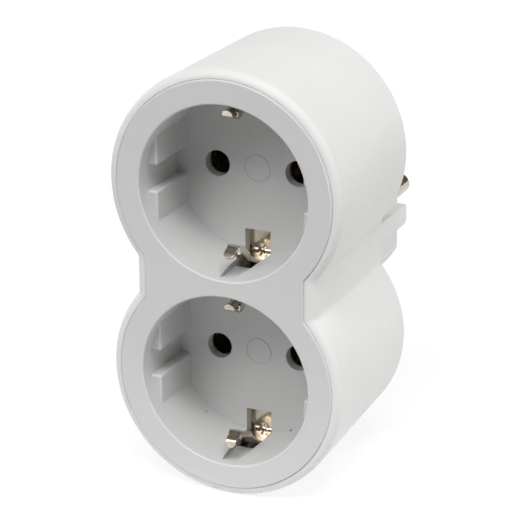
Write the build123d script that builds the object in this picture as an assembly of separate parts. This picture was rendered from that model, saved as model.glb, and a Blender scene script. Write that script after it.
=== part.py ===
from build123d import *

import math
import os

# Two-way socket adapter, in millimetres. X runs to the right seen from the sockets, Y runs along the
# plug pins into the wall, Z is up. The origin is the middle of the plug face, between the two pins.

# Plug and socket interface
PIN_SPACING = 19.0
PIN_DIAMETER = 4.8
PIN_LENGTH = 19.6
PIN_TIP_ROUND = 1.0
WELL_DIAMETER = 39.0
WELL_DEPTH = 18.35
WELL_SPACING = 3.8
PIN_HOLE_DIAMETER = 5.9

# Housing
BODY_DEPTH = 41.3
RIM_WIDTH = 1.94
LOBE_DRAFT = 1.85
WAIST_RIM_WIDTH = 2.19
WAIST_DRAFT = 1.1
WAIST_CORNER_ROUND = 1.5
BODY_WALL = 2.6
BACK_WALL = 1.8
RIM_ROUND = 1.9
BACK_EDGE_ROUND = 0.6

# Plug nose
NOSE_LENGTH = 19.2
NOSE_RADIUS = 18.45
NOSE_WALL = 2.2
NOSE_END_WALL = 2.0
NOSE_EDGE_ROUND = 0.5
FLAT_HALF_WIDTH = 16.3
KEY_REACH = 18.4
KEY_WIDTH = 4.8
KEY_END_ROUND = 1.2
EARTH_HOLE_DIAMETER = 5.5
EARTH_HOLE_HEIGHT = 10.0

# Front cover
COVER_LAND = 5.5
COVER_WAIST_HALF_WIDTH = 18.55
COVER_CORNER_ROUND = 0.8
COVER_THICKNESS = 2.4
COVER_PROUD = 0.4
COVER_GAP = 0.06
COVER_EDGE_ROUND = 0.4
WELL_WALL = 2.2
WELL_FLOOR = 2.5
WELL_MOUTH_ROUND = 0.4
RIB_START = 3.8
RIB_FRONT_HALF_GAP = 16.95
RIB_FLOOR_HALF_GAP = 16.7
RIB_EDGE_BEVEL = 0.35
CHANNEL_WIDTH = 5.9
WINDOW_WIDTH = 6.0
WINDOW_FRONT_WIDTH = 4.9
WINDOW_REACH = 5.4
WINDOW_START = 8.4
POCKET_START = 1.6
POCKET_RAMP = 1.2
POCKET_FRONT_WIDTH = 3.3
POCKET_FRONT_DEPTH = 0.6
POCKET_DEPTH = 1.1

# Earth springs
SPRING_THICKNESS = 0.6
SPRING_ROOT_WIDTH = 5.2
SPRING_ROOT_SINK = 0.6
SPRING_BEND_RADIUS = 1.1
SPRING_FOLD_DEPTH = 14.3
SPRING_FOLD_RADIUS = 1.2
SPRING_TAPER_LENGTH = 2.2
SPRING_HUMP_DEPTH = 6.8
SPRING_HUMP_REACH = 5.5
SPRING_HUMP_RADIUS = 1.6
SPRING_LIP_DEPTH = 3.4
SPRING_LIP_REACH = 4.1
SPRING_LIP_RADIUS = 0.8
SPRING_TIP_REACH = 2.8
SPRING_TIP_WIDTH = 2.5
GUSSET_RISE = 1.8
GUSSET_RUN = 2.6
GUSSET_WIDTH = 0.9
GUSSET_ROUND = 0.4

# Current and earth strips
BAR_WIDTH = 6.0
BAR_THICKNESS = 0.8
BAR_OVERHANG = 4.0
EARTH_BAR_OVERHANG = 4.0
EARTH_CROWN_HALF_LENGTH = 5.0
STRIP_BEND_RADIUS = 1.2
BRACKET_WIDTH = 6.4
BRACKET_RECESS = 0.2
BRACKET_BEND_RADIUS = 0.6
BRACKET_END_GAP = 3.0
CONTACT_THICKNESS = 0.6
CONTACT_WIDTH = 5.0
CONTACT_GRIP = 4.4
CONTACT_MOUTH = 6.4
CONTACT_BASE = 6.0
CONTACT_LEAD_IN = 3.6
CONTACT_MOUTH_GAP = 0.8
CONTACT_BEND_RADIUS = 0.8

# Turned pieces and fasteners
RIVET_DIAMETER = 2.4
RIVET_HEAD_DIAMETER = 4.0
RIVET_HEAD_HEIGHT = 0.5
PIN_SHANK_DIAMETER = 4.0
PIN_TAIL_DIAMETER = 3.0
PIN_SHOULDER_DIAMETER = 5.8
PIN_COLLAR_DIAMETER = 7.2
PIN_COLLAR_HEIGHT = 1.6
EARTH_TUBE_BORE = 5.1
EARTH_TUBE_WALL = 0.8
EARTH_TUBE_LENGTH = 12.0
EARTH_STEM_DIAMETER = 3.0
SCREW_OFFSET = 12.0
SCREW_RISE = 11.6
SCREW_DIAMETER = 3.0
SCREW_HEAD_DIAMETER = 5.5
SCREW_HEAD_HEIGHT = 2.0
SCREW_HEAD_SINK = 4.2
SCREW_SLOT_WIDTH = 0.9
SCREW_SLOT_LENGTH = 3.4
SCREW_SLOT_DEPTH = 1.1
SCREW_END_GAP = 1.0
POST_DIAMETER = 6.4
POST_LENGTH = 9.0
BOSS_WALL = 1.3

# Clearances
PART_CLEARANCE = 0.05
SCREW_CLEARANCE = 0.2
STRIP_CLEARANCE = 0.1
CUT_MARGIN = 1.0

# Stations along Y
COVER_FACE = -NOSE_LENGTH - BODY_DEPTH
RIM_FACE = COVER_FACE + COVER_PROUD
LEDGE_FACE = COVER_FACE + COVER_THICKNESS
FLOOR_FACE = COVER_FACE + WELL_DEPTH
FLOOR_BACK = FLOOR_FACE + WELL_FLOOR
BACK_FACE = -NOSE_LENGTH
BACK_INSIDE = BACK_FACE - BACK_WALL
NOSE_INSIDE = -NOSE_END_WALL
BAR_FACE = BACK_INSIDE - BAR_THICKNESS
CONTACT_FACE = BAR_FACE - CONTACT_THICKNESS
SPRING_BACK = FLOOR_BACK + SPRING_THICKNESS
EARTH_BAR_BACK = SPRING_BACK + BAR_THICKNESS
CROWN_FACE = BAR_FACE - BAR_THICKNESS
SCREW_SEAT = BACK_FACE - SCREW_HEAD_SINK - SCREW_HEAD_HEIGHT
POST_END = FLOOR_BACK + POST_LENGTH

# Places seen from the front
WELL_RADIUS = WELL_DIAMETER / 2
SOCKET_PITCH = WELL_DIAMETER + WELL_SPACING
SOCKET_HEIGHTS = {"upper": SOCKET_PITCH / 2, "lower": -SOCKET_PITCH / 2}
POLES = {"left": -PIN_SPACING / 2, "right": PIN_SPACING / 2}
COVER_LOBE_RADIUS = WELL_RADIUS + COVER_LAND
LOBE_RADIUS = COVER_LOBE_RADIUS + COVER_GAP + RIM_WIDTH
WAIST_HALF_WIDTH = COVER_WAIST_HALF_WIDTH + COVER_GAP + WAIST_RIM_WIDTH
SCREW_HEIGHT = SOCKET_PITCH / 2 + SCREW_RISE
SCREW_PLACES = [(x, z) for x in (-SCREW_OFFSET, SCREW_OFFSET) for z in (-SCREW_HEIGHT, SCREW_HEIGHT)]
BRACKET_HEIGHT = NOSE_RADIUS - BRACKET_RECESS - BAR_THICKNESS / 2


def along_y(outline, start, end):
    """Extrude an outline drawn in X and Z from one station to another."""
    plane = Plane(origin=(0, end, 0), x_dir=(1, 0, 0), z_dir=(0, -1, 0))
    return extrude(plane * outline, amount=end - start)


def rod(diameter, start, end, x=0.0, z=0.0):
    """Make a round bar along Y between two stations."""
    return Pos(x, 0, z) * along_y(Circle(diameter / 2), start, end)


def turned(*profile):
    """Revolve a half section, given as radius and station pairs, about the Y axis."""
    return revolve(make_face(Polyline(*profile, close=True)), Axis.Y)


def mirrored_face(side):
    """Fill the outline drawn in X and Y by its right side and that side's mirror image."""
    return make_face(Polyline(*side, *[(-x, y) for x, y in reversed(side)], close=True))


def bent_strip(points, radii, thickness, width):
    """Bend a strip along a path drawn in Y and Z, centred on X."""
    section = Plane.YZ * trace(FilletPolyline(*points, radius=radii), thickness)
    return extrude(section, amount=width / 2, both=True)


def peanut(lobe_radius, half_width, corner_round):
    """Draw two round lobes joined by a straight waist, with rounded inner corners."""
    outline = Rectangle(2 * half_width, SOCKET_PITCH)
    for height in SOCKET_HEIGHTS.values():
        outline += Pos(0, height) * Circle(lobe_radius)
    return fillet(outline.vertices(), corner_round)


def drafted_body(inset, start, end):
    """Make the tapered lobes and waist between two stations, drawn in by a wall."""

    def lobe_radius(station):
        return LOBE_RADIUS - inset - (station - RIM_FACE) * math.tan(math.radians(LOBE_DRAFT))

    def half_width(station):
        return WAIST_HALF_WIDTH - inset - (station - RIM_FACE) * math.tan(math.radians(WAIST_DRAFT))

    waist_plan = mirrored_face([(half_width(start), start), (half_width(end), end)])
    body = extrude(waist_plan, amount=SOCKET_PITCH / 2, both=True)
    lower_end = (Align.CENTER, Align.CENTER, Align.MIN)
    lobe = Rot(-90, 0, 0) * Cone(lobe_radius(start), lobe_radius(end), end - start, align=lower_end)
    for height in SOCKET_HEIGHTS.values():
        body += Pos(0, start, height) * lobe
    return body


def rounded_body():
    """Make the solid outer form of the housing with its rounded edges."""
    body = drafted_body(0, RIM_FACE, BACK_FACE)
    half_depth = (BACK_FACE - RIM_FACE) / 2
    corners = [edge for edge in body.edges() if abs((edge @ 1 - edge @ 0).Y) > half_depth]
    corners = [edge for edge in corners if abs(edge.center().X) > WAIST_HALF_WIDTH / 2]
    body = fillet(corners, WAIST_CORNER_ROUND)
    body = fillet(body.faces().sort_by(Axis.Y)[0].edges(), RIM_ROUND)
    return fillet(body.faces().sort_by(Axis.Y)[-1].edges(), BACK_EDGE_ROUND)


def nose_outline(inset):
    """Draw the plug nose's round face with its two side flats."""
    return Circle(NOSE_RADIUS - inset) & Rectangle(2 * (FLAT_HALF_WIDTH - inset), 2 * NOSE_RADIUS)


def plug_nose():
    """Make the solid plug nose with a guide key on each flat."""
    keys = along_y(Rectangle(2 * KEY_REACH, KEY_WIDTH), BACK_INSIDE, 0)
    key_ends = keys.edges().filter_by(Axis.X).group_by(Axis.Y)[-1]
    nose = along_y(nose_outline(0), BACK_INSIDE, 0)
    nose = fillet(nose.faces().sort_by(Axis.Y)[-1].edges(), NOSE_EDGE_ROUND)
    return nose + fillet(key_ends, KEY_END_ROUND)


def earth_groove():
    """Make the cut for the bracket's legs along the top and underside of the nose."""
    width = BRACKET_WIDTH + 2 * STRIP_CLEARANCE

    def slots(floor, top):
        return Rectangle(width, 2 * top) - Rectangle(width, 2 * floor)

    legs = slots(BRACKET_HEIGHT - BAR_THICKNESS / 2 - STRIP_CLEARANCE, NOSE_RADIUS + CUT_MARGIN)
    bends = slots(BRACKET_HEIGHT - BRACKET_BEND_RADIUS - STRIP_CLEARANCE, NOSE_RADIUS)
    end = -BRACKET_END_GAP + STRIP_CLEARANCE
    return along_y(legs, BACK_FACE, end) + along_y(bends, BACK_INSIDE - CUT_MARGIN, BACK_FACE)


def rear_housing():
    """Make the white shell with its plug nose, screw bosses and openings."""
    housing = rounded_body()
    recess = peanut(COVER_LOBE_RADIUS + COVER_GAP, COVER_WAIST_HALF_WIDTH + COVER_GAP, COVER_CORNER_ROUND)
    housing -= along_y(recess, COVER_FACE, LEDGE_FACE)
    cavity = drafted_body(BODY_WALL, LEDGE_FACE, BACK_INSIDE)
    housing -= cavity
    housing += plug_nose()
    housing -= along_y(nose_outline(NOSE_WALL), BACK_INSIDE, NOSE_INSIDE)
    housing -= earth_groove()
    head_room = SCREW_HEAD_DIAMETER + 2 * SCREW_CLEARANCE
    for x, z in SCREW_PLACES:
        housing += rod(head_room + 2 * BOSS_WALL, POST_END, BACK_INSIDE, x, z)
        housing -= rod(head_room, SCREW_SEAT, BACK_FACE + CUT_MARGIN, x, z)
        housing -= rod(SCREW_DIAMETER + 2 * SCREW_CLEARANCE, POST_END, SCREW_SEAT, x, z)
    for x in POLES.values():
        housing -= rod(PIN_SHOULDER_DIAMETER + 2 * PART_CLEARANCE, NOSE_INSIDE, 0, x)
    return housing - rod(EARTH_HOLE_DIAMETER, NOSE_INSIDE, 0, 0, EARTH_HOLE_HEIGHT)


def guide_ribs():
    """Make one well's guide ribs, split by the channels for the plug's keys, with bevelled edges."""
    outer = WELL_RADIUS + WELL_WALL / 2
    rib_front = COVER_FACE + RIB_START
    inner_front = (RIB_FRONT_HALF_GAP, rib_front)
    inner_floor = (RIB_FLOOR_HALF_GAP, FLOOR_FACE)
    plan = make_face(Polyline(inner_front, (outer, rib_front), (outer, FLOOR_FACE), inner_floor, close=True))
    plan += mirror(plan, Plane.YZ)
    ribs = extrude(plan, amount=WELL_RADIUS, both=True) & rod(2 * outer, rib_front, FLOOR_FACE)
    ribs -= along_y(Rectangle(2 * outer, CHANNEL_WIDTH), rib_front, FLOOR_FACE)
    edges = ribs.edges().filter_by(GeomType.LINE)
    edges = [edge for edge in edges if edge.center().Y < FLOOR_FACE - RIB_EDGE_BEVEL]
    edges = [edge for edge in edges if abs(edge.center().Z) < WELL_RADIUS / 2]
    return chamfer([edge for edge in edges if abs(edge.center().X) < WELL_RADIUS], RIB_EDGE_BEVEL)


def spring_windows():
    """Make the cut for one socket's spring arms, through the floor and the well wall."""
    front, back = WINDOW_FRONT_WIDTH / 2, WINDOW_WIDTH / 2
    plan = mirrored_face([(front, COVER_FACE + WINDOW_START), (back, FLOOR_FACE), (back, FLOOR_BACK)])
    outer = WELL_RADIUS + WELL_WALL + PART_CLEARANCE
    middle = Rectangle(WINDOW_WIDTH, 2 * (WELL_RADIUS - WINDOW_REACH))
    return extrude(plan, amount=outer, both=True) - along_y(middle, COVER_FACE, FLOOR_BACK)


def tip_pockets():
    """Make the cut for one socket's shallow pockets, which the spring tips sink into under a plug."""
    start, end = COVER_FACE + POCKET_START, COVER_FACE + WINDOW_START
    inside, foot = WELL_RADIUS - POCKET_FRONT_DEPTH, WELL_RADIUS + POCKET_FRONT_DEPTH
    deep = WELL_RADIUS + POCKET_DEPTH
    profile = [(start, inside), (end, inside), (end, deep), (start + POCKET_RAMP, foot)]
    side = make_face(Polyline(*profile, close=True))
    plan = mirrored_face([(POCKET_FRONT_WIDTH / 2, start), (WINDOW_FRONT_WIDTH / 2, end)])
    pocket = extrude(Plane.YZ * side, amount=WINDOW_WIDTH, both=True) & extrude(plan, amount=deep, both=True)
    return pocket + mirror(pocket, Plane.XY)


def socket_cover():
    """Make the grey front plate with its two wells and the screw posts behind them."""
    plate = peanut(COVER_LOBE_RADIUS, COVER_WAIST_HALF_WIDTH, COVER_CORNER_ROUND)
    cover = along_y(plate, COVER_FACE, LEDGE_FACE)
    cover = fillet(cover.faces().sort_by(Axis.Y)[0].edges(), COVER_EDGE_ROUND)
    for height in SOCKET_HEIGHTS.values():
        cover += rod(WELL_DIAMETER + 2 * WELL_WALL, LEDGE_FACE - COVER_EDGE_ROUND, FLOOR_BACK, 0, height)
    for height in SOCKET_HEIGHTS.values():
        cover -= rod(WELL_DIAMETER, COVER_FACE, FLOOR_FACE, 0, height)
    mouths = cover.faces().sort_by(Axis.Y)[0].inner_wires()
    cover = fillet([edge for mouth in mouths for edge in mouth.edges()], WELL_MOUTH_ROUND)
    for height in SOCKET_HEIGHTS.values():
        cover += Pos(0, 0, height) * guide_ribs()
        cover -= Pos(0, 0, height) * (spring_windows() + tip_pockets())
        for x in POLES.values():
            cover -= rod(PIN_HOLE_DIAMETER, FLOOR_FACE, FLOOR_BACK, x, height)
    for x, z in SCREW_PLACES:
        cover += rod(POST_DIAMETER, FLOOR_BACK, POST_END, x, z)
        cover -= rod(SCREW_DIAMETER + 2 * PART_CLEARANCE, FLOOR_BACK, POST_END, x, z)
    return cover


def spring_path():
    """List the bends of one spring arm, from the tip in the well to the strip behind the floor."""
    root = WELL_RADIUS + SPRING_ROOT_SINK
    lip = COVER_FACE + SPRING_LIP_DEPTH
    return [
        (lip, WELL_RADIUS - SPRING_TIP_REACH),
        (lip, WELL_RADIUS - SPRING_LIP_REACH),
        (COVER_FACE + SPRING_HUMP_DEPTH, WELL_RADIUS - SPRING_HUMP_REACH),
        (COVER_FACE + SPRING_FOLD_DEPTH, root),
        (FLOOR_BACK + SPRING_THICKNESS / 2, root),
    ]


def spring_gusset():
    """Make the rounded gusset that stiffens the bend at one arm's root."""
    back, root = spring_path()[-1]
    bend_middle = SPRING_BEND_RADIUS * (1 - math.sqrt(0.5))
    inside_bend = (back - bend_middle, root - bend_middle)
    side = make_face(Polyline(inside_bend, (back, root - GUSSET_RISE), (back - GUSSET_RUN, root), close=True))
    gusset = extrude(Plane.YZ * side, amount=GUSSET_WIDTH / 2, both=True)
    return fillet(gusset.edges().sort_by(SortBy.LENGTH)[-2:], GUSSET_ROUND)


def spring_plan():
    """Make the block that leaves the spring wide at its root and narrow along its arms."""
    narrow, wide = SPRING_TIP_WIDTH / 2, SPRING_ROOT_WIDTH / 2
    taper_back = COVER_FACE + SPRING_FOLD_DEPTH
    taper_front = taper_back - SPRING_TAPER_LENGTH
    side = [(narrow, COVER_FACE), (narrow, taper_front), (wide, taper_back), (wide, SPRING_BACK)]
    return extrude(mirrored_face(side), amount=SOCKET_PITCH / 2, both=True)


def tip_rounding():
    """Make the cut that rounds the end of one spring arm."""
    lip, tip = spring_path()[0]
    half = SPRING_TIP_WIDTH / 2
    corners = Rectangle(2 * half, 2 * half, align=(Align.CENTER, Align.MIN)) - Circle(half)
    return along_y(Pos(0, tip - half) * corners, lip - SPRING_THICKNESS, COVER_FACE + SPRING_HUMP_DEPTH)


def earth_spring(height):
    """Bend one socket's earth spring, with a narrowed arm above and below the socket's middle."""
    arm = spring_path()
    bends = [SPRING_LIP_RADIUS, SPRING_HUMP_RADIUS, SPRING_FOLD_RADIUS, SPRING_BEND_RADIUS]
    points = arm + [(y, -z) for y, z in reversed(arm)]
    spring = bent_strip(points, bends + bends[::-1], SPRING_THICKNESS, SPRING_ROOT_WIDTH) & spring_plan()
    spring += spring_gusset() + mirror(spring_gusset(), Plane.XY)
    spring -= tip_rounding() + mirror(tip_rounding(), Plane.XY)
    spring -= rod(RIVET_DIAMETER + 2 * PART_CLEARANCE, FLOOR_BACK, SPRING_BACK)
    return Pos(0, 0, height) * spring


def earth_bar():
    """Bend the hat-shaped strip that joins both springs to the plug's earth bracket."""
    brim = SPRING_BACK + BAR_THICKNESS / 2
    crown = CROWN_FACE + BAR_THICKNESS / 2
    end = SOCKET_PITCH / 2 + EARTH_BAR_OVERHANG
    half = EARTH_CROWN_HALF_LENGTH
    points = [(brim, end), (brim, half), (crown, half), (crown, -half), (brim, -half), (brim, -end)]
    bar = bent_strip(points, STRIP_BEND_RADIUS, BAR_THICKNESS, BAR_WIDTH)
    hole = RIVET_DIAMETER + 2 * PART_CLEARANCE
    for height in SOCKET_HEIGHTS.values():
        bar -= rod(hole, SPRING_BACK, EARTH_BAR_BACK, 0, height)
    return bar - rod(hole, CROWN_FACE, BAR_FACE)


def plug_earth_bracket():
    """Bend the strip whose legs lie in the grooves above and below the plug nose."""
    base = BAR_FACE + BAR_THICKNESS / 2
    end = -BRACKET_END_GAP
    points = [(end, BRACKET_HEIGHT), (base, BRACKET_HEIGHT), (base, -BRACKET_HEIGHT), (end, -BRACKET_HEIGHT)]
    bracket = bent_strip(points, BRACKET_BEND_RADIUS, BAR_THICKNESS, BRACKET_WIDTH)
    bracket -= rod(RIVET_DIAMETER + 2 * PART_CLEARANCE, BAR_FACE, BACK_INSIDE)
    stem_hole = EARTH_STEM_DIAMETER + 2 * PART_CLEARANCE
    return bracket - rod(stem_hole, BAR_FACE, BACK_INSIDE, 0, EARTH_HOLE_HEIGHT)


def plug_earth_socket():
    """Turn the tube that takes a wall socket's earth pin, with a stem riveted to the bracket."""
    bore, stem = EARTH_TUBE_BORE / 2, EARTH_STEM_DIAMETER / 2
    outer = bore + EARTH_TUBE_WALL
    tube_back = NOSE_INSIDE - EARTH_TUBE_LENGTH
    head = BAR_FACE - RIVET_HEAD_HEIGHT
    flange = RIVET_HEAD_DIAMETER / 2
    tube = [(bore, NOSE_INSIDE), (bore, tube_back), (0, tube_back)]
    rivet = [(0, head), (flange, head), (flange, BAR_FACE), (stem, BAR_FACE), (stem, BACK_INSIDE)]
    shoulder = [(outer, BACK_INSIDE), (outer, NOSE_INSIDE)]
    return Pos(0, 0, EARTH_HOLE_HEIGHT) * turned(*tube, *rivet, *shoulder)


def contact_bar(x):
    """Cut one flat bar that joins a plug pin to its two contacts."""
    length = SOCKET_PITCH + 2 * BAR_OVERHANG
    outline = SlotOverall(length, BAR_WIDTH, rotation=90) - Circle(PIN_TAIL_DIAMETER / 2 + PART_CLEARANCE)
    for height in SOCKET_HEIGHTS.values():
        outline -= Pos(0, height) * Circle(RIVET_DIAMETER / 2 + PART_CLEARANCE)
    return Pos(x, 0, 0) * along_y(outline, BAR_FACE, BACK_INSIDE)


def pin_contact(x, height):
    """Bend one spring contact whose two leaves grip a plug pin behind its hole."""
    half = CONTACT_THICKNESS / 2
    mouth = (CONTACT_MOUTH / 2 + half, FLOOR_BACK + CONTACT_MOUTH_GAP)
    grip = (CONTACT_GRIP / 2 + half, FLOOR_BACK + CONTACT_MOUTH_GAP + CONTACT_LEAD_IN)
    base = (CONTACT_BASE / 2 + half, CONTACT_FACE + half)
    leaf = [mouth, grip, base]
    path = FilletPolyline(*leaf, *[(-a, b) for a, b in reversed(leaf)], radius=CONTACT_BEND_RADIUS)
    contact = extrude(trace(path, CONTACT_THICKNESS), amount=CONTACT_WIDTH / 2, both=True)
    contact -= rod(RIVET_DIAMETER + 2 * PART_CLEARANCE, CONTACT_FACE, BAR_FACE)
    return Pos(x, 0, height) * contact


def plug_pin(x):
    """Turn one plug pin, with a collar inside the nose and a tail riveted to its bar."""
    pin, shank, tail = PIN_DIAMETER / 2, PIN_SHANK_DIAMETER / 2, PIN_TAIL_DIAMETER / 2
    shoulder, collar, head = PIN_SHOULDER_DIAMETER / 2, PIN_COLLAR_DIAMETER / 2, RIVET_HEAD_DIAMETER / 2
    collar_back = NOSE_INSIDE - PIN_COLLAR_HEIGHT
    head_face = BAR_FACE - RIVET_HEAD_HEIGHT
    inner = [(0, head_face), (head, head_face), (head, BAR_FACE), (tail, BAR_FACE), (tail, BACK_INSIDE)]
    middle = [(shank, BACK_INSIDE), (shank, collar_back), (collar, collar_back), (collar, NOSE_INSIDE)]
    outer = [(shoulder, NOSE_INSIDE), (shoulder, 0), (pin, 0), (pin, PIN_LENGTH), (0, PIN_LENGTH)]
    body = turned(*inner, *middle, *outer)
    tip = body.edges().filter_by(GeomType.CIRCLE).sort_by(Axis.Y)[-1]
    return Pos(x, 0, 0) * fillet(tip, PIN_TIP_ROUND)


def rivet(head_start, head_end, shank_start, shank_end, x, z):
    """Make one rivet from a head and a shank along Y."""
    head = rod(RIVET_HEAD_DIAMETER, head_start, head_end, x, z)
    return head + rod(RIVET_DIAMETER, shank_start, shank_end, x, z)


def contact_rivets():
    """Make the rivets that hold the pin contacts on their bars."""
    head = CONTACT_FACE - RIVET_HEAD_HEIGHT
    places = [(x, z) for x in POLES.values() for z in SOCKET_HEIGHTS.values()]
    return [rivet(head, CONTACT_FACE, CONTACT_FACE, BACK_INSIDE, x, z) for x, z in places]


def earth_rivets():
    """Make the rivets that hold the earth bar to the springs and to the bracket."""
    behind = EARTH_BAR_BACK + RIVET_HEAD_HEIGHT
    head = CROWN_FACE - RIVET_HEAD_HEIGHT
    rivets = [rivet(head, CROWN_FACE, CROWN_FACE, BACK_INSIDE, 0, 0)]
    for height in SOCKET_HEIGHTS.values():
        rivets.append(rivet(EARTH_BAR_BACK, behind, FLOOR_BACK, EARTH_BAR_BACK, 0, height))
    return rivets


def housing_screw(x, z):
    """Make one cross-slotted screw that pulls the cover's post onto the housing's boss."""
    top = SCREW_SEAT + SCREW_HEAD_HEIGHT
    screw = rod(SCREW_HEAD_DIAMETER, SCREW_SEAT, top, x, z)
    screw += rod(SCREW_DIAMETER, FLOOR_BACK + SCREW_END_GAP, SCREW_SEAT, x, z)
    slot = Rectangle(SCREW_SLOT_LENGTH, SCREW_SLOT_WIDTH) + Rectangle(SCREW_SLOT_WIDTH, SCREW_SLOT_LENGTH)
    return screw - Pos(x, 0, z) * along_y(slot, top - SCREW_SLOT_DEPTH, top)


def pieces():
    """Collect every piece of the adapter under its name."""
    made = {"rear_housing": rear_housing(), "socket_cover": socket_cover()}
    for row, height in SOCKET_HEIGHTS.items():
        made[f"earth_spring_{row}"] = earth_spring(height)
        for side, x in POLES.items():
            made[f"pin_contact_{row}_{side}"] = pin_contact(x, height)
    for side, x in POLES.items():
        made[f"contact_bar_{side}"] = contact_bar(x)
        made[f"plug_pin_{side}"] = plug_pin(x)
    made["earth_bar"] = earth_bar()
    made["plug_earth_bracket"] = plug_earth_bracket()
    made["plug_earth_socket"] = plug_earth_socket()
    made["contact_rivets"] = Compound(children=contact_rivets())
    made["earth_rivets"] = Compound(children=earth_rivets())
    made["housing_screws"] = Compound(children=[housing_screw(x, z) for x, z in SCREW_PLACES])
    return made


os.makedirs("parts", exist_ok=True)
for name, piece in pieces().items():
    export_step(piece, f"parts/{name}.step")
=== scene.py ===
"""Looks of the two-way socket adapter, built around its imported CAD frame.

Every length is in metres, in the frame of the CAD: X runs to the right seen from the sockets,
Y runs along the plug pins into the wall, Z is up, and the origin is the middle of the plug face.
"""

import logging
import math
from dataclasses import dataclass, field
from enum import Enum
from typing import Any, Callable, Optional

import bmesh
import bpy
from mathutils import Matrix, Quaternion, Vector


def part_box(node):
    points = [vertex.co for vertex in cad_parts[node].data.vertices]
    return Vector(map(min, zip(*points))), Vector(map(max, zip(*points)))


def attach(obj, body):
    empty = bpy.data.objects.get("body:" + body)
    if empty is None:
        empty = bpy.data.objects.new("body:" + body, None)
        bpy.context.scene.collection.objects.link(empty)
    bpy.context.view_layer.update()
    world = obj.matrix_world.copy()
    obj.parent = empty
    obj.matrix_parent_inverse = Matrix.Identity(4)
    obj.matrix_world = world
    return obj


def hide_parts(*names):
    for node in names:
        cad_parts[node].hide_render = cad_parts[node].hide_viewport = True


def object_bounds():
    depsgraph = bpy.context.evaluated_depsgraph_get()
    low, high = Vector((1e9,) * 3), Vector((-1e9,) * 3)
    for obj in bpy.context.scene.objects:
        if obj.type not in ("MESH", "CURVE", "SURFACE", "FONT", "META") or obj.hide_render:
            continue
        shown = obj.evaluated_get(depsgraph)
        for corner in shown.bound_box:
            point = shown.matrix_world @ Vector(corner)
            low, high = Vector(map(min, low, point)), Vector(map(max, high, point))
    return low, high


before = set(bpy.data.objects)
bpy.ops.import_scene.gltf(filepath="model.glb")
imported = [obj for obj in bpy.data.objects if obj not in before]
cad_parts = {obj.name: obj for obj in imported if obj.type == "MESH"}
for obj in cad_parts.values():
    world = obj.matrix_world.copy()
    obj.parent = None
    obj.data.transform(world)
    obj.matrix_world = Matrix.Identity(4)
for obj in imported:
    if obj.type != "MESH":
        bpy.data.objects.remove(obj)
CAD_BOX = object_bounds()

log = logging.getLogger("socket_adapter")

Triple = tuple[float, float, float]
Colour = Triple
Place = Triple
Span = tuple[float, float]

MM = 0.001
BODY = "root"
WHITE: Colour = (1.0, 1.0, 1.0)

# Points as close as this to a line or plane count as on it.
TOUCH = 0.01 * MM
# Turn that stands a flat primitive up, facing along the pins.
UPRIGHT: Triple = (math.pi / 2, 0.0, 0.0)
# Range that holds most of the values of a noise pattern.
NOISE_SPAN: Span = (0.3, 0.7)
# Numbers of the Mix node's sockets when it mixes colours.
MIX_SHARE, MIX_FIRST, MIX_SECOND, MIX_RESULT = 0, 6, 7, 2


class Lay(Enum):
    """Direction of a metal's fine lines, as the stretch of their noise along X, Y and Z."""

    ROLLED_ALONG_PINS = (1.0, 0.04, 1.0)
    ROLLED_UPRIGHT = (1.0, 1.0, 0.04)
    TURNED_ROUND_PINS = (0.04, 1.0, 0.04)


class Slot(Enum):
    """Names of three material slots, which no step of this script uses."""

    GREY_PLASTIC = "grey_plastic"
    NICKEL = "nickel"
    STEEL = "steel"


class Side(Enum):
    """The two sides of the current path, as the names of its nodes give them."""

    LEFT = "left"
    RIGHT = "right"


class Socket(Enum):
    """The two sockets, as the names of their nodes give them."""

    UPPER = "upper"
    LOWER = "lower"

    def spring_node(self) -> str:
        """Return the name of the socket's earth spring node."""
        return f"earth_spring_{self.value}"

    def height(self) -> float:
        """Return the height of the socket's middle, read from its earth spring."""
        low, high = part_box(self.spring_node())
        return (low.z + high.z) / 2


class Arm(Enum):
    """The two arms of an earth spring, as the way each stands from its socket's middle."""

    ABOVE = 1.0
    BELOW = -1.0


def opaque(colour: Colour) -> tuple[float, float, float, float]:
    """Return a colour with full alpha."""
    return (*colour, 1.0)


def add_node(
    tree: bpy.types.NodeTree,
    kind: str,
    inputs: Optional[dict[Any, Any]] = None,
    **settings: Any,
) -> bpy.types.Node:
    """Add a node to a tree and set or join its inputs.

    Args:
        tree: Node tree of a material or the world.
        kind: Blender's name of the node type.
        inputs: Values or source sockets by input name or number.
        settings: Properties of the node itself.

    Returns:
        The new node.
    """
    node = tree.nodes.new(kind)
    for key, value in settings.items():
        setattr(node, key, value)
    for key, value in (inputs or {}).items():
        if isinstance(value, bpy.types.NodeSocket):
            tree.links.new(value, node.inputs[key])
        else:
            node.inputs[key].default_value = value
    return node


def map_range(
    tree: bpy.types.NodeTree,
    source: bpy.types.NodeSocket,
    ends: Span,
    levels: Span,
    easing: str = "LINEAR",
) -> bpy.types.NodeSocket:
    """Map a source from its two ends to two levels, and hold the levels past the ends.

    Args:
        tree: Node tree to add to.
        source: Value to map.
        ends: Source values that give the levels.
        levels: Results at the two ends.
        easing: Blender's name of the interpolation.

    Returns:
        The mapped value.
    """
    inputs = {
        "Value": source,
        "From Min": ends[0],
        "From Max": ends[1],
        "To Min": levels[0],
        "To Max": levels[1],
    }
    node = add_node(tree, "ShaderNodeMapRange", inputs, interpolation_type=easing)
    return node.outputs["Result"]


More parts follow.
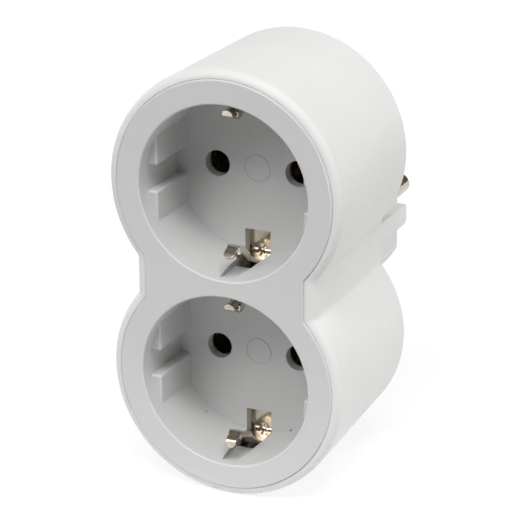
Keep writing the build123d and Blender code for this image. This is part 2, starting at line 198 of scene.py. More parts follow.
@dataclass
class Shader:
    """One material's node tree, with short calls that add and join its nodes."""

    name: str
    material: bpy.types.Material = field(init=False)
    edge_samples: int = 6

    def __post_init__(self) -> None:
        """Start the material with its surface shader and its Object coordinates."""
        self.material = bpy.data.materials.new(self.name)
        self.material.use_nodes = True
        self.tree = self.material.node_tree
        self.surface = self.tree.nodes["Principled BSDF"]
        self.place = self.add("ShaderNodeTexCoord").outputs["Object"]

    def add(
        self, kind: str, inputs: Optional[dict[Any, Any]] = None, **settings: Any
    ) -> bpy.types.Node:
        """Add a node to the material, as add_node does."""
        return add_node(self.tree, kind, inputs, **settings)

    def feed(self, socket: str, source: bpy.types.NodeSocket) -> None:
        """Join a source to an input of the surface shader."""
        self.tree.links.new(source, self.surface.inputs[socket])

    def noise(
        self, scale: float, detail: float = 2.0, stretch: Triple = (1.0, 1.0, 1.0)
    ) -> bpy.types.NodeSocket:
        """Add a noise pattern on Object coordinates.

        Args:
            scale: Pattern repeats in a metre.
            detail: Octaves of finer noise in it.
            stretch: Share of the scale along X, Y and Z.

        Returns:
            The noise value, about 0 to 1.
        """
        turned = self.add("ShaderNodeMapping", {"Vector": self.place, "Scale": stretch})
        inputs = {"Vector": turned.outputs[0], "Scale": scale, "Detail": detail}
        return self.add("ShaderNodeTexNoise", inputs).outputs["Fac"]

    def spread(
        self, source: bpy.types.NodeSocket, levels: Span, ends: Span = NOISE_SPAN
    ) -> bpy.types.NodeSocket:
        """Map a source from its two ends to two levels, eased at both."""
        return map_range(self.tree, source, ends, levels, "SMOOTHSTEP")

    def blend(
        self, share: bpy.types.NodeSocket, first: Any, second: Colour
    ) -> bpy.types.NodeSocket:
        """Mix two colours.

        Args:
            share: How much of the second colour shows, 0 to 1.
            first: Colour or source socket under it.
            second: Colour on top.

        Returns:
            The mixed colour.
        """
        under = first if isinstance(first, bpy.types.NodeSocket) else opaque(first)
        inputs = {MIX_SHARE: share, MIX_FIRST: under, MIX_SECOND: opaque(second)}
        return self.add("ShaderNodeMix", inputs, data_type="RGBA").outputs[MIX_RESULT]

    def near(self, middle: Place, reach: float, soft: float) -> bpy.types.NodeSocket:
        """Make a mask that is 1 near a point.

        Args:
            middle: The point.
            reach: Distance at which the mask has gone.
            soft: Share of the reach over which it fades.

        Returns:
            The mask.
        """
        away = self.add("ShaderNodeVectorMath", {0: self.place, 1: middle}, operation="DISTANCE")
        return self.spread(away.outputs["Value"], (1.0, 0.0), (reach * (1.0 - soft), reach))

    def relief(
        self, height: bpy.types.NodeSocket, depth: float, strength: float, edge: float
    ) -> None:
        """Give the surface a fine relief and softened edges.

        Args:
            height: Relief pattern, 0 to 1.
            depth: Height of the relief.
            strength: Share of it that shows.
            edge: Radius by which sharp edges are softened.
        """
        rounded = self.add("ShaderNodeBevel", {"Radius": edge}, samples=self.edge_samples)
        inputs = {
            "Height": height,
            "Distance": depth,
            "Strength": strength,
            "Normal": rounded.outputs["Normal"],
        }
        self.feed("Normal", self.add("ShaderNodeBump", inputs).outputs["Normal"])


@dataclass(frozen=True)
class Speck:
    """A small dark mark left on a moulding, with a soft and uneven edge.

    It fades over soft, a share of its reach. A noise that repeats patches times in that reach
    varies its strength.
    """

    place: Place
    reach: float
    colour: Colour = (0.05, 0.035, 0.025)
    soft: float = 0.6
    patches: float = 0.9
    strength: Span = (0.4, 1.0)

    def mask(self, shader: Shader) -> bpy.types.NodeSocket:
        """Make the speck's mask.

        Args:
            shader: Material that it is on.

        Returns:
            The mask, 1 where the speck is darkest.
        """
        uneven = shader.spread(shader.noise(self.patches / self.reach), self.strength)
        inputs = {0: shader.near(self.place, self.reach, self.soft), 1: uneven}
        return shader.add("ShaderNodeMath", inputs, operation="MULTIPLY").outputs[0]


@dataclass(frozen=True)
class MouldedPlastic:
    """Satin moulded plastic with a faint mottle and a fine moulding grain."""

    name: str
    colour: Colour
    shade: Colour
    roughness: Span
    mottle_scale: float = 45.0
    mottle_detail: float = 4.0
    cloud_scale: float = 420.0
    cloud_detail: float = 3.0
    cloud_share: float = 0.35
    grain_scale: float = 2600.0
    grain_detail: float = 3.0
    grain_depth: float = 0.02 * MM
    grain_strength: float = 0.25
    edge: float = 0.12 * MM
    specks: tuple[Speck, ...] = ()

    def material(self) -> bpy.types.Material:
        """Make the finish's material.

        Returns:
            The material, ready for a piece's slot.
        """
        shader = Shader(self.name)
        mottle = shader.noise(self.mottle_scale, self.mottle_detail)
        colour = shader.blend(shader.spread(mottle, (0.0, 1.0)), self.colour, self.shade)
        clouds = shader.noise(self.cloud_scale, self.cloud_detail)
        colour = shader.blend(shader.spread(clouds, (0.0, self.cloud_share)), colour, self.shade)
        for speck in self.specks:
            colour = shader.blend(speck.mask(shader), colour, speck.colour)
        shader.feed("Base Color", colour)
        shader.feed("Roughness", shader.spread(clouds, self.roughness))
        grain = shader.noise(self.grain_scale, self.grain_detail)
        shader.relief(grain, self.grain_depth, self.grain_strength, self.edge)
        return shader.material


@dataclass(frozen=True)
class WorkedMetal:
    """Metal with fine lines from rolling or turning, and a faint uneven tint."""

    name: str
    colour: Colour
    shade: Colour
    roughness: Span
    lay: Lay
    tint_scale: float = 160.0
    tint_detail: float = 3.0
    line_scale: float = 2600.0
    line_detail: float = 2.0
    line_share: float = 0.4
    line_depth: float = 0.01 * MM
    line_strength: float = 0.35
    edge: float = 0.15 * MM

    def material(self) -> bpy.types.Material:
        """Make the finish's material.

        Returns:
            The material, ready for a piece's slot.
        """
        shader = Shader(self.name)
        tint = shader.noise(self.tint_scale, self.tint_detail)
        colour = shader.blend(shader.spread(tint, (0.0, 1.0)), self.colour, self.shade)
        lines = shader.noise(self.line_scale, self.line_detail, self.lay.value)
        colour = shader.blend(shader.spread(lines, (0.0, self.line_share)), colour, self.shade)
        shader.feed("Base Color", colour)
        shader.feed("Roughness", shader.spread(lines, self.roughness))
        shader.surface.inputs["Metallic"].default_value = 1.0
        shader.relief(lines, self.line_depth, self.line_strength, self.edge)
        return shader.material


WHITE_PLASTIC = MouldedPlastic(
    "white_moulding", (0.72, 0.72, 0.71), (0.7, 0.7, 0.688), (0.5, 0.62)
)
GREY_PLASTIC = MouldedPlastic(
    "grey_moulding",
    (0.6, 0.6, 0.598),
    (0.585, 0.584, 0.58),
    (0.44, 0.56),
    specks=(
        Speck((-11.8 * MM, -44.7 * MM, -36.9 * MM), 0.45 * MM),
        Speck((7.7 * MM, -42.15 * MM, -39.1 * MM), 0.4 * MM),
    ),
)
NICKEL_STRIP = WorkedMetal(
    "nickel_strip", (0.78, 0.72, 0.62), (0.42, 0.355, 0.28), (0.1, 0.2), Lay.ROLLED_ALONG_PINS
)
NICKEL_PIN = WorkedMetal(
    "nickel_pin", (0.6, 0.53, 0.45), (0.5, 0.43, 0.35), (0.12, 0.22), Lay.TURNED_ROUND_PINS
)
BRASS_STRIP = WorkedMetal(
    "brass_strip", (0.6, 0.43, 0.2), (0.46, 0.31, 0.13), (0.2, 0.36), Lay.ROLLED_UPRIGHT
)
BRASS_TUBE = WorkedMetal(
    "brass_tube", (0.72, 0.53, 0.25), (0.6, 0.42, 0.18), (0.16, 0.3), Lay.TURNED_ROUND_PINS
)
ZINC_STEEL = WorkedMetal(
    "zinc_steel", (0.6, 0.61, 0.62), (0.5, 0.5, 0.5), (0.24, 0.4), Lay.TURNED_ROUND_PINS
)


def dress_node(name: str, material: bpy.types.Material) -> None:
    """Put a material in the slots of a CAD node.

    Args:
        name: The node's name.
        material: Its finish.
    """
    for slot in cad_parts[name].material_slots:
        slot.material = material
    log.info("%s: %s", name, material.name)


def dress_piece(piece: bpy.types.Object, material: bpy.types.Material) -> None:
    """Give a new piece its material and the body that it rides on.

    Args:
        piece: The finished piece.
        material: Its finish.
    """
    piece.data.materials.clear()
    piece.data.materials.append(material)
    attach(piece, BODY)
    log.info("%s: %s, %d faces", piece.name, material.name, len(piece.data.polygons))


def start_edit() -> None:
    """Enter edit mode on the active object with all of it selected."""
    bpy.ops.object.mode_set(mode="EDIT")
    bpy.ops.mesh.select_all(action="SELECT")


def set_in_place() -> None:
    """Leave edit mode and put the object's place into its mesh."""
    bpy.ops.object.mode_set(mode="OBJECT")
    bpy.ops.object.transform_apply(location=True, rotation=True, scale=True)


def end_edit() -> None:
    """Turn the faces of a closed shape outwards, and set it in place."""
    bpy.ops.mesh.select_all(action="SELECT")
    bpy.ops.mesh.normals_make_consistent(inside=False)
    set_in_place()


def pick_points(wanted: Callable[[Vector], bool]) -> None:
    """Select the points of the mesh in edit mode by their place.

    Args:
        wanted: Tells from a point's place whether it is selected.
    """
    piece = bpy.context.object
    bpy.ops.mesh.select_all(action="DESELECT")
    bpy.ops.mesh.select_mode(type="VERT")
    mesh = bmesh.from_edit_mesh(piece.data)
    for point in mesh.verts:
        point.select_set(wanted(piece.matrix_world @ point.co))
    mesh.select_flush_mode()
    bmesh.update_edit_mesh(piece.data)


def pick_alone(*pieces: bpy.types.Object) -> None:
    """Select some objects and no others.

    Args:
        pieces: The objects, of which the first is made active.
    """
    bpy.ops.object.select_all(action="DESELECT")
    for piece in pieces:
        piece.select_set(True)
    bpy.context.view_layer.objects.active = pieces[0]


@dataclass(frozen=True)
class Rounding:
    """Rounding of edges: its width, its steps and the least angle, in degrees, of a sharp edge."""

    width: float
    steps: int
    angle: float

    def apply(self, piece: bpy.types.Object) -> None:
        """Round the sharp edges of a piece and shade its smooth runs smooth.

        Args:
            piece: The piece.
        """
        pick_alone(piece)
        bevel = piece.modifiers.new("round_edges", "BEVEL")
        bevel.width = self.width
        bevel.segments = self.steps
        bevel.limit_method = "ANGLE"
        bevel.angle_limit = math.radians(self.angle)
        bpy.ops.object.modifier_apply(modifier=bevel.name)
        bpy.ops.object.shade_smooth_by_angle(angle=math.radians(self.angle))


@dataclass
class Housing:
    """White rear housing with the plug nose."""

    node: str = "rear_housing"
    finish: MouldedPlastic = WHITE_PLASTIC

    def dress(self) -> None:
        """Finish the moulding."""
        dress_node(self.node, self.finish.material())


@dataclass
class SocketFront:
    """Grey socket cover with a plain ring on each well floor and a sill in each spring window."""

    node: str = "socket_cover"
    finish: MouldedPlastic = GREY_PLASTIC
    floor_face: float = -42.15 * MM
    ring_radius: float = 3.08 * MM
    ring_width: float = 0.3 * MM
    ring_height: float = 0.15 * MM
    ring_sink: float = 0.05 * MM
    ring_sides: int = 96
    ring_edge: Rounding = Rounding(0.09 * MM, 3, 40.0)
    sill_front: float = -52.4 * MM
    sill_back: float = -48.4 * MM
    sill_drop: float = 20.6 * MM
    sill_width: float = 5.3 * MM
    sill_flare: float = 1.08
    sill_thickness: float = 0.85 * MM
    sill_edge: Rounding = Rounding(0.2 * MM, 3, 40.0)

    def ring(self, socket: Socket) -> bpy.types.Object:
        """Make the ring of one well floor.

        Args:
            socket: Which socket.

        Returns:
            The ring, sunk a little into the floor.
        """
        middle = (0.0, self.floor_face + self.ring_sink, socket.height())
        bpy.ops.object.select_all(action="DESELECT")
        bpy.ops.mesh.primitive_circle_add(
            vertices=self.ring_sides, radius=self.ring_radius, location=middle, rotation=UPRIGHT
        )
        ring = bpy.context.object
        ring.name = f"floor_ring_{socket.value}"
        start_edit()
        bpy.ops.mesh.extrude_edges_move()
        inner = 1.0 - self.ring_width / self.ring_radius
        bpy.ops.transform.resize(value=(inner, inner, inner), center_override=middle)
        bpy.ops.mesh.select_all(action="SELECT")
        lift = (0.0, -(self.ring_height + self.ring_sink), 0.0)
        bpy.ops.mesh.extrude_region_move(TRANSFORM_OT_translate={"value": lift})
        end_edit()
        self.ring_edge.apply(ring)
        return ring

    def sill(self, socket: Socket, arm: Arm) -> bpy.types.Object:
        """Make the sill that closes the front of a spring window, level with its pocket.

        Args:
            socket: Which socket.
            arm: The spring arm that comes through the window.

        Returns:
            The sill, with its sides let into the window's sides.
        """
        middle = (self.sill_front + self.sill_back) / 2
        height = socket.height() + arm.value * (self.sill_drop + self.sill_thickness / 2)
        size = (self.sill_width, self.sill_back - self.sill_front, self.sill_thickness)
        bpy.ops.object.select_all(action="DESELECT")
        bpy.ops.mesh.primitive_cube_add(size=1.0, location=(0.0, middle, height), scale=size)
        sill = bpy.context.object
        sill.name = f"window_sill_{socket.value}_{arm.name.lower()}"
        start_edit()
        pick_points(lambda point: point.y > middle)
        bpy.ops.transform.resize(value=(self.sill_flare, 1.0, 1.0))
        end_edit()
        self.sill_edge.apply(sill)
        return sill

    def dress(self) -> None:
        """Finish the moulding, its rings and its sills."""
        material = self.finish.material()
        dress_node(self.node, material)
        for socket in Socket:
            dress_piece(self.ring(socket), material)
            for arm in Arm:
                dress_piece(self.sill(socket, arm), material)


@dataclass(frozen=True)
class Corner:
    """A bend of an arm: depth from the cover face, reach from the well wall, and radius."""

    depth: float
    reach: float
    radius: float


@dataclass(frozen=True)
class ArmSet:
    """How a spring arm stands: its bends in front of the root, its tip and its bent edges."""

    fold: Corner = Corner(14.2 * MM, -0.6 * MM, 1.2 * MM)
    knee: Corner = Corner(10.9 * MM, 3.1 * MM, 2.0 * MM)
    hump: Corner = Corner(6.1 * MM, 5.25 * MM, 1.7 * MM)
    lip: Corner = Corner(3.4 * MM, 4.2 * MM, 0.7 * MM)
    tip_depth: float = 2.9 * MM
    tip_reach: float = 2.7 * MM
    flange: float = 1.2 * MM


ARM_SETS: dict[tuple[Socket, Arm], ArmSet] = {
    (Socket.UPPER, Arm.ABOVE): ArmSet(
        knee=Corner(10.9 * MM, 2.3 * MM, 2.0 * MM),
        hump=Corner(6.1 * MM, 4.2 * MM, 1.7 * MM),
        lip=Corner(3.4 * MM, 3.15 * MM, 0.7 * MM),
        tip_reach=1.8 * MM,
    ),
    (Socket.UPPER, Arm.BELOW): ArmSet(
        knee=Corner(10.6 * MM, 2.8 * MM, 2.0 * MM),
        hump=Corner(6.6 * MM, 6.4 * MM, 3.6 * MM),
        lip=Corner(3.5 * MM, 4.85 * MM, 1.0 * MM),
        tip_depth=2.6 * MM,
        tip_reach=4.2 * MM,
        flange=1.5 * MM,
    ),
    (Socket.LOWER, Arm.ABOVE): ArmSet(
        knee=Corner(10.9 * MM, 2.9 * MM, 2.0 * MM),
        hump=Corner(6.1 * MM, 5.0 * MM, 1.7 * MM),
        lip=Corner(3.4 * MM, 3.9 * MM, 0.7 * MM),
        tip_reach=2.5 * MM,
    ),
    (Socket.LOWER, Arm.BELOW): ArmSet(),
}


@dataclass
class EarthPath:
    """Earth springs bent from strip, the bar, bracket and tube behind them, and their rivets."""

    bracket: str = "plug_earth_bracket"
    bar: str = "earth_bar"
    tube: str = "plug_earth_socket"
    rivets: str = "earth_rivets"
    cover_face: float = -60.5 * MM
    well_radius: float = 19.5 * MM
    thickness: float = 0.6 * MM
    plate_width: float = 6.6 * MM
    root_width: float = 5.2 * MM
    arm_width: float = 2.4 * MM
    root_radius: float = 1.1 * MM
    neck_length: float = 0.8 * MM
    taper_length: float = 2.8 * MM
    strip_half: float = 12.0 * MM
    strip_merge: float = 0.001 * MM
    strip_angle: float = 40.0
    columns: int = 12
    bend_steps: int = 10
    row_length: float = 0.6 * MM
    flange_rows: int = 3
    flange_ahead: float = 1.0 * MM
    flange_behind: float = 0.6 * MM
    rib_rise: float = 0.4 * MM
    rib_spread: float = 0.8 * MM
    rib_reach: float = 1.2
    line_width: float = 0.1 * MM
    edge: Rounding = Rounding(0.1 * MM, 2, 50.0)
    empty_size: float = 0.002 * MM
    tip_rows: tuple[float, ...] = (0.3, 0.55, 0.75, 0.88, 0.96, 0.995)

    def start_arm(self, here: Vector) -> bpy.types.Object:
        """Start an arm as the cut edge of the strip, left in edit mode with the edge selected.

        Args:
            here: Middle of the edge.

        Returns:
            The new piece.
        """
        half = Vector((0.0, self.plate_width / 2, 0.0))
        bpy.ops.object.select_all(action="DESELECT")
        bpy.ops.mesh.primitive_plane_add(size=self.plate_width, location=here + half)
        piece = bpy.context.object
        start_edit()
        pick_points(lambda point: point.y > here.y + half.y)
        bpy.ops.mesh.delete(type="VERT")
        bpy.ops.mesh.select_all(action="SELECT")
        bpy.ops.mesh.subdivide(number_cuts=self.columns - 1)
        return piece

    def extend(self, step: Vector, here: Vector, narrow: float = 1.0) -> Vector:
        """Draw the strip's free edge out, row by row.

        Args:
            step: How far the edge goes.
            here: Middle of the edge before it.
            narrow: Share of its width that the edge keeps.

        Returns:
            The middle of the edge after it.
        """
        rows = math.ceil(step.length / self.row_length)
        share = (narrow ** (1.0 / rows), 1.0, 1.0)
        for _ in range(rows):
            bpy.ops.mesh.extrude_edges_move(TRANSFORM_OT_translate={"value": step / rows})
            bpy.ops.transform.resize(value=share, center_override=here)
        return here + step

    def bend(self, ahead: Vector, onward: Vector, here: Vector, radius: float) -> None:
        """Spin the strip's free edge round a bend.

        Args:
            ahead: Direction before the bend.
            onward: Direction after it.
            here: Middle of the edge where the bend starts.
            radius: Radius of the strip's middle layer.
        """
        turn = math.atan2(ahead.y * onward.z - ahead.z * onward.y, ahead.dot(onward))
        side = math.copysign(radius, turn)
        middle = here + Vector((0.0, -ahead.z, ahead.y)) * side
        # With no window, spin turns the other way.
        bpy.ops.mesh.spin(
            steps=self.bend_steps, angle=-turn, center=middle, axis=(1.0, 0.0, 0.0)
        )

    def round_tip(self, here: Vector, tip: Vector) -> None:
        """Draw the free edge out to the tip, in rows that get narrower along a half circle.

        Args:
            here: Middle of the edge.
            tip: Where the arm ends.
        """
        width = 1.0
        radius = min(self.arm_width / 2, (tip - here).length)
        onward = (tip - here).normalized()
        straight = (tip - here).length - radius
        if straight > 0.0:
            here = self.extend(onward * straight, here)
        done = 0.0
        for share in self.tip_rows:
            wanted = math.sqrt(1.0 - share**2)
            here = self.extend(onward * radius * (share - done), here, wanted / width)
            width, done = wanted, share

    def press_rib(self, root: Vector, arm: Arm) -> None:
        """Press the small rib that stiffens the bend at an arm's root.

        Args:
            root: Corner of the bend, on the strip's middle line.
            arm: Which arm.
        """
        reach = self.root_radius * self.rib_reach
        pick_points(lambda point: abs(point.x) < self.line_width and (point - root).length < reach)
        lift = Vector((0.0, -1.0, -arm.value)).normalized() * self.rib_rise
        bpy.ops.transform.translate(
            value=lift,
            use_proportional_edit=True,
            proportional_edit_falloff="SMOOTH",
            proportional_size=self.rib_spread,
        )

    def bend_edges(self, pose: ArmSet, arm: Arm) -> None:
        """Bend the long edges of an arm towards the well wall, from its hump to its knee.

        Args:
            pose: How the arm stands.
            arm: Which arm.
        """
        side = self.arm_width / 2 - TOUCH
        front, back = pose.hump.depth - self.flange_ahead, pose.knee.depth + self.flange_behind

        def on_edge(point: Vector) -> bool:
            """Tell whether a point lies on a long edge between the hump and the knee."""
            beside = side < abs(point.x) < side + self.line_width
            return beside and front < point.y - self.cover_face < back

        pick_points(on_edge)
        step = Vector((0.0, 0.0, arm.value * pose.flange / self.flange_rows))
        for _ in range(self.flange_rows):
            bpy.ops.mesh.extrude_edges_move(TRANSFORM_OT_translate={"value": step})

    def thicken(self, piece: bpy.types.Object) -> None:
        """Give a bent sheet its thickness and rounded edges, without the empty faces they leave.

        Args:
            piece: The sheet, along the middle layer of the strip.
        """
        sheet = piece.modifiers.new("sheet", "SOLIDIFY")
        sheet.thickness = self.thickness
        sheet.offset = 0.0
        sheet.use_even_offset = True
        bpy.ops.object.modifier_apply(modifier=sheet.name)
        self.edge.apply(piece)
        start_edit()
        bpy.ops.mesh.dissolve_degenerate(threshold=self.empty_size)
        bpy.ops.object.mode_set(mode="OBJECT")

    def arm(self, socket: Socket, arm: Arm) -> bpy.types.Object:
        """Bend one arm of a spring, from the strip behind the floor to the tip in the well.

        Args:
            socket: Which socket.
            arm: Which of its arms.

        Returns:
            The arm, with its thickness and rounded edges.
        """
        pose = ARM_SETS[socket, arm]
        middle = socket.height()
        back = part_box(socket.spring_node())[1].y - self.thickness / 2

        def place(depth: float, reach: float) -> Vector:
            """Return a place on the arm's middle line."""
            height = middle + arm.value * (self.well_radius - reach)
            return Vector((0.0, self.cover_face + depth, height))

        root = Corner(back - self.cover_face, pose.fold.reach, self.root_radius)
        corners = (root, pose.fold, pose.knee, pose.hump, pose.lip)
        marks = [place(corner.depth, corner.reach) for corner in corners]
        tip = place(pose.tip_depth, pose.tip_reach)
        here = Vector((0.0, back, middle + arm.value * self.strip_half))
        piece = self.start_arm(here)
        piece.name = f"earth_arm_{socket.value}_{arm.name.lower()}"
        for corner, mark, onward in zip(corners, marks, [*marks[1:], tip]):
            ahead, after = (mark - here).normalized(), (onward - mark).normalized()
            cut = corner.radius * math.tan(ahead.angle(after) / 2)
            run = mark - ahead * cut - here
            if corner is root:
                here = self.extend(run - ahead * self.neck_length, here)
                run = ahead * self.neck_length
                here = self.extend(run, here, self.root_width / self.plate_width)
            else:
                if corner is pose.knee:
                    taper = ahead * self.taper_length
                    here = self.extend(taper, here, self.arm_width / self.root_width)
                    run -= taper
                here = self.extend(run, here)
            self.bend(ahead, after, here, corner.radius)
            here = mark + after * cut
        self.round_tip(here, tip)
        self.press_rib(marks[0], arm)
        self.bend_edges(pose, arm)
        set_in_place()
        self.thicken(piece)
        return piece

    def spring(self, socket: Socket) -> bpy.types.Object:
        """Make one earth spring: the CAD strip behind the floor with two bent arms.

        Args:
            socket: Which socket.

        Returns:
            The spring.
        """
        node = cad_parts[socket.spring_node()]
        strip = bpy.data.objects.new(f"bent_spring_{socket.value}", node.data.copy())
        bpy.context.scene.collection.objects.link(strip)
        pick_alone(strip)
        start_edit()
        bpy.ops.mesh.remove_doubles(threshold=self.strip_merge)
        for arm in Arm:
            bpy.ops.mesh.select_all(action="SELECT")
            bpy.ops.mesh.bisect(
                plane_co=(0.0, 0.0, socket.height() + arm.value * self.strip_half),
                plane_no=(0.0, 0.0, arm.value),
                clear_outer=True,
                use_fill=True,
            )
        bpy.ops.mesh.customdata_custom_splitnormals_clear()
        bpy.ops.object.mode_set(mode="OBJECT")
        bpy.ops.object.shade_smooth_by_angle(angle=math.radians(self.strip_angle))
        arms = [self.arm(socket, arm) for arm in Arm]
        pick_alone(strip, *arms)
        bpy.ops.object.join()
        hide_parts(node.name)
        return strip

    def dress(self) -> None:
        """Build the springs and finish every piece of the earth path."""
        nickel = NICKEL_STRIP.material()
        for socket in Socket:
            dress_piece(self.spring(socket), nickel)
        dress_node(self.bracket, nickel)
        dress_node(self.bar, BRASS_STRIP.material())
        dress_node(self.tube, BRASS_TUBE.material())
        dress_node(self.rivets, ZINC_STEEL.material())


@dataclass
class CurrentPath:
    """Plug pins, contact bars and pin contacts, with their rivets."""

    rivets: str = "contact_rivets"

    def dress(self) -> None:
        """Finish every piece of the current path."""
        pin, brass = NICKEL_PIN.material(), BRASS_STRIP.material()
        for side in Side:
            dress_node(f"plug_pin_{side.value}", pin)
            dress_node(f"contact_bar_{side.value}", brass)
            for socket in Socket:
                dress_node(f"pin_contact_{socket.value}_{side.value}", brass)
        dress_node(self.rivets, ZINC_STEEL.material())


@dataclass
class ClosingScrews:
    """Four slotted screws with domed heads that close the housing from behind."""

    node: str = "housing_screws"
    head_width: float = 5.5 * MM
    head_height: float = 2.0 * MM
    dome: float = 0.8 * MM
    dome_steps: int = 6
    shank_width: float = 3.0 * MM
    core_width: float = 2.3 * MM
    point_width: float = 0.92 * MM
    collar: float = 3.0 * MM
    pitch: float = 1.1 * MM
    slot_width: float = 0.9 * MM
    slot_length: float = 3.4 * MM
    slot_depth: float = 1.1 * MM
    edge: Rounding = Rounding(0.06 * MM, 2, 70.0)
    sides: int = 48
    turns: tuple[float, ...] = (20.0, 75.0, -35.0, 50.0)

    def draw_shank(self, length: float) -> None:
        """Draw the shank out of the head's underside, plain at first, then threaded to its point.

        Args:
            length: Length of the shank.
        """
        width = self.shank_width
        bpy.ops.mesh.inset(thickness=(self.head_width - width) / 2)
        rows = [(self.collar, width)]
        half = self.pitch / 2
        for row in range(int((length - self.collar) / half) - 1):
            rows.append((half, self.shank_width if row % 2 else self.core_width))
        rows.append((length - sum(step for step, _ in rows), self.point_width))
        for step, wanted in rows:
            down = (0.0, 0.0, -step)
            bpy.ops.mesh.extrude_region_move(TRANSFORM_OT_translate={"value": down})
            share = wanted / width
            bpy.ops.transform.resize(value=(share, share, 1.0))
            width = wanted

    def screw(self, length: float) -> bpy.types.Object:
        """Make one screw, pointing down from the top of its head at the origin.

        Args:
            length: Length of the whole screw.

        Returns:
            The screw.
        """
        bpy.ops.object.select_all(action="DESELECT")
        bpy.ops.mesh.primitive_circle_add(
            vertices=self.sides, radius=self.head_width / 2, fill_type="NGON"
        )
        screw = bpy.context.object
        start_edit()
        down = (0.0, 0.0, -self.head_height)
        bpy.ops.mesh.extrude_region_move(TRANSFORM_OT_translate={"value": down})
        self.draw_shank(length - self.head_height)
        pick_points(lambda point: point.z > -TOUCH)
        bpy.ops.mesh.bevel(offset=self.dome, segments=self.dome_steps, affect="EDGES")
        end_edit()
        size = (self.slot_length, self.slot_width, 2 * self.slot_depth)
        bpy.ops.mesh.primitive_cube_add(size=1.0, scale=size)
        cutter = bpy.context.object
        pick_alone(screw)
        slot = screw.modifiers.new("slot", "BOOLEAN")
        slot.object = cutter
        slot.operation = "DIFFERENCE"
        bpy.ops.object.modifier_apply(modifier=slot.name)
        bpy.data.objects.remove(cutter)
        self.edge.apply(screw)
        return screw

    def dress(self) -> None:
        """Make one screw, set a copy of it in each corner and finish them."""
        low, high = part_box(self.node)
        inset = self.head_width / 2
        columns, rows = (low.x + inset, high.x - inset), (low.z + inset, high.z - inset)
        corners = [(x, z) for x in columns for z in rows]
        steel = ZINC_STEEL.material()
        first = self.screw(high.y - low.y)
        for number, ((x, z), turn) in enumerate(zip(corners, self.turns), start=1):
            screw = bpy.data.objects.new(f"closing_screw_{number}", first.data.copy())
            bpy.context.scene.collection.objects.link(screw)
            screw.location = (x, high.y, z)
            screw.rotation_euler = (-math.pi / 2, math.radians(turn), 0.0)
            pick_alone(screw)
            bpy.ops.object.transform_apply(location=True, rotation=True, scale=True)
            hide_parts(self.node)
            dress_piece(screw, steel)
        bpy.data.objects.remove(first)


@dataclass(frozen=True)
class SoftBox:
    """A square studio lamp, turned to the right from the front and raised, in degrees."""

    name: str
    turn: float
    rise: float
    size: float
    power: float
    distance: float = 1.3

    def hang(self, target: Vector) -> None:
        """Hang the lamp so that it faces the adapter.

        Args:
            target: Point that it faces.
        """
        turn, rise = math.radians(self.turn), math.radians(self.rise)
        level = math.cos(rise)
        way = Vector((math.sin(turn) * level, -math.cos(turn) * level, math.sin(rise)))
        away = way * self.distance
        data = bpy.data.lights.new(self.name, "AREA")
        data.shape = "SQUARE"
        data.size = self.size
        data.energy = self.power
        lamp = bpy.data.objects.new(self.name, data)
        bpy.context.scene.collection.objects.link(lamp)
        lamp.location = target + away
        lamp.rotation_mode = "QUATERNION"
        lamp.rotation_quaternion = (-away).to_track_quat("-Z", "Y")


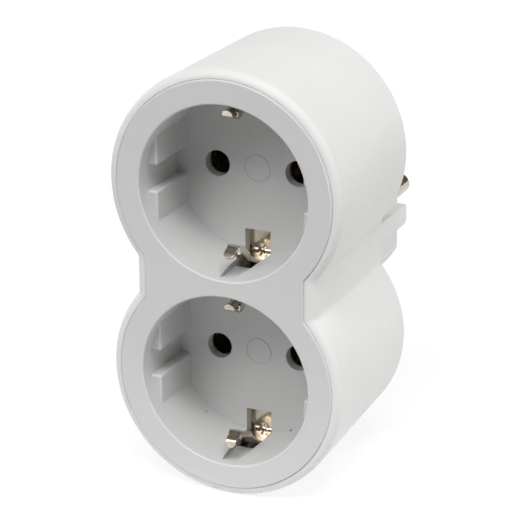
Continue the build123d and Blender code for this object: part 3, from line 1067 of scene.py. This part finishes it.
@dataclass
class Studio:
    """White table, soft lamps in a pale surround, a dark card for the shine, and the camera.

    The table throws back floor_colours of the light, near and far, and the change lies between the
    two distances of floor_sheet. To the eye it glows by floor_glow, which changes between those of
    floor_lit, and floor_shade of the light that falls on it is added, so that the shadow shows.
    """

    target: Place = (-0.008, -0.02335, -0.00744)
    camera_place: Place = (0.2222, -0.5349, 0.2055)
    camera_roll: float = math.radians(-0.3755)
    camera_lens: float = 183.25
    sensor_width: float = 36.0
    floor_size: float = 6.0
    floor_colours: Span = (0.85, 0.1)
    floor_sheet: Span = (0.08, 0.3)
    floor_glow: Span = (0.8, 1.0)
    floor_lit: Span = (0.3, 1.1)
    floor_shade: Colour = (0.25, 0.25, 0.25)
    card_place: Place = (0.26, 0.8, 0.33)
    card_size: Span = (0.8, 0.62)
    card_colour: Colour = (0.045, 0.028, 0.017)
    surround: Span = (0.055, 1.0)
    lamps: tuple[SoftBox, ...] = (
        SoftBox("key", 45.0, 60.0, 0.4, 5.5),
        SoftBox("front", -30.0, 38.0, 0.6, 4.4),
        SoftBox("crown", 5.0, 55.0, 0.5, 7.2),
        SoftBox("side", 82.0, 16.0, 0.6, 5.3),
        SoftBox("left", -65.0, 8.0, 0.6, 2.4),
        SoftBox("rear_right", 125.0, 28.0, 0.5, 2.7),
        SoftBox("back", 170.0, 8.0, 0.6, 5.0),
        SoftBox("back_left", -120.0, 12.0, 0.6, 3.0),
    )

    @staticmethod
    def seen(tree: bpy.types.NodeTree) -> bpy.types.NodeSocket:
        """Add a switch that is 1 for the rays that show the background.

        Args:
            tree: Node tree to add it to.

        Returns:
            The switch, for camera, glossy and transmission rays.
        """
        path = add_node(tree, "ShaderNodeLightPath")
        switch = path.outputs["Is Camera Ray"]
        for ray in ("Is Glossy Ray", "Is Transmission Ray"):
            inputs = {0: switch, 1: path.outputs[ray]}
            switch = add_node(tree, "ShaderNodeMath", inputs, operation="MAXIMUM").outputs[0]
        return switch

    def table_finish(self) -> bpy.types.Material:
        """Make the table's material, white to the eye with the adapter's soft shadow on it.

        Returns:
            The material.
        """
        material = bpy.data.materials.new("table_white")
        material.use_nodes = True
        tree = material.node_tree
        tree.nodes.clear()
        place = add_node(tree, "ShaderNodeTexCoord").outputs["Object"]
        length = add_node(tree, "ShaderNodeVectorMath", {0: place}, operation="LENGTH")
        away = length.outputs["Value"]
        colour = map_range(tree, away, self.floor_sheet, self.floor_colours)
        lit = add_node(tree, "ShaderNodeBsdfDiffuse", {"Color": colour}).outputs[0]
        colour = opaque(self.floor_shade)
        shaded = add_node(tree, "ShaderNodeBsdfDiffuse", {"Color": colour}).outputs[0]
        strength = map_range(tree, away, self.floor_lit, self.floor_glow)
        glow = add_node(tree, "ShaderNodeEmission", {"Strength": strength}).outputs[0]
        white = add_node(tree, "ShaderNodeAddShader", {0: shaded, 1: glow}).outputs[0]
        inputs = {0: self.seen(tree), 1: lit, 2: white}
        shown = add_node(tree, "ShaderNodeMixShader", inputs).outputs[0]
        add_node(tree, "ShaderNodeOutputMaterial", {"Surface": shown})
        return material

    def table(self) -> None:
        """Lay the pale table under the adapter."""
        bpy.ops.object.select_all(action="DESELECT")
        bpy.ops.mesh.primitive_plane_add(
            size=self.floor_size, location=(0.0, 0.0, CAD_BOX[0][2])
        )
        table = bpy.context.object
        table.name = "table"
        table.data.materials.append(self.table_finish())

    def card(self) -> None:
        """Stand a dark card behind the adapter, seen by nothing but the shine of metal."""
        bpy.ops.object.select_all(action="DESELECT")
        bpy.ops.mesh.primitive_plane_add(size=1.0, location=self.card_place, rotation=UPRIGHT)
        card = bpy.context.object
        card.name = "dark_card"
        card.scale = (*self.card_size, 1.0)
        bpy.ops.object.transform_apply(location=True, rotation=True, scale=True)
        material = bpy.data.materials.new("card_dark")
        material.use_nodes = True
        surface = material.node_tree.nodes["Principled BSDF"]
        surface.inputs["Base Color"].default_value = opaque(self.card_colour)
        card.data.materials.append(material)
        card.visible_camera = False
        card.visible_diffuse = False
        card.visible_transmission = False
        card.visible_shadow = False

    def light(self) -> None:
        """Hang the lamps and set the pale surround."""
        for lamp in self.lamps:
            lamp.hang(Vector(self.target))
        world = bpy.data.worlds.new("pale_surround")
        bpy.context.scene.world = world
        world.use_nodes = True
        tree = world.node_tree
        tree.nodes.clear()
        level = map_range(tree, self.seen(tree), (0.0, 1.0), self.surround)
        inputs = {"Color": opaque(WHITE), "Strength": level}
        background = add_node(tree, "ShaderNodeBackground", inputs).outputs[0]
        add_node(tree, "ShaderNodeOutputWorld", {"Surface": background})

    def film(self) -> None:
        """Set up the camera at the photograph's angle."""
        data = bpy.data.cameras.new("camera")
        data.lens = self.camera_lens
        data.sensor_width = self.sensor_width
        camera = bpy.data.objects.new("camera", data)
        bpy.context.scene.collection.objects.link(camera)
        camera.location = self.camera_place
        camera.rotation_mode = "QUATERNION"
        straight = (Vector(self.target) - Vector(self.camera_place)).to_track_quat("-Z", "Y")
        camera.rotation_quaternion = straight @ Quaternion((0.0, 0.0, 1.0), self.camera_roll)
        bpy.context.scene.camera = camera

    def build(self) -> None:
        """Set up the whole studio."""
        self.table()
        self.card()
        self.light()
        self.film()
        bpy.context.scene.view_settings.view_transform = "Standard"
        log.info("studio: %d lamps", len(self.lamps))


def main() -> None:
    """Dress the adapter and set up the studio."""
    logging.basicConfig(level=logging.INFO, format="%(name)s: %(message)s")
    for part in (Housing(), SocketFront(), EarthPath(), CurrentPath(), ClosingScrews()):
        part.dress()
    Studio().build()


if __name__ == "__main__":
    main()
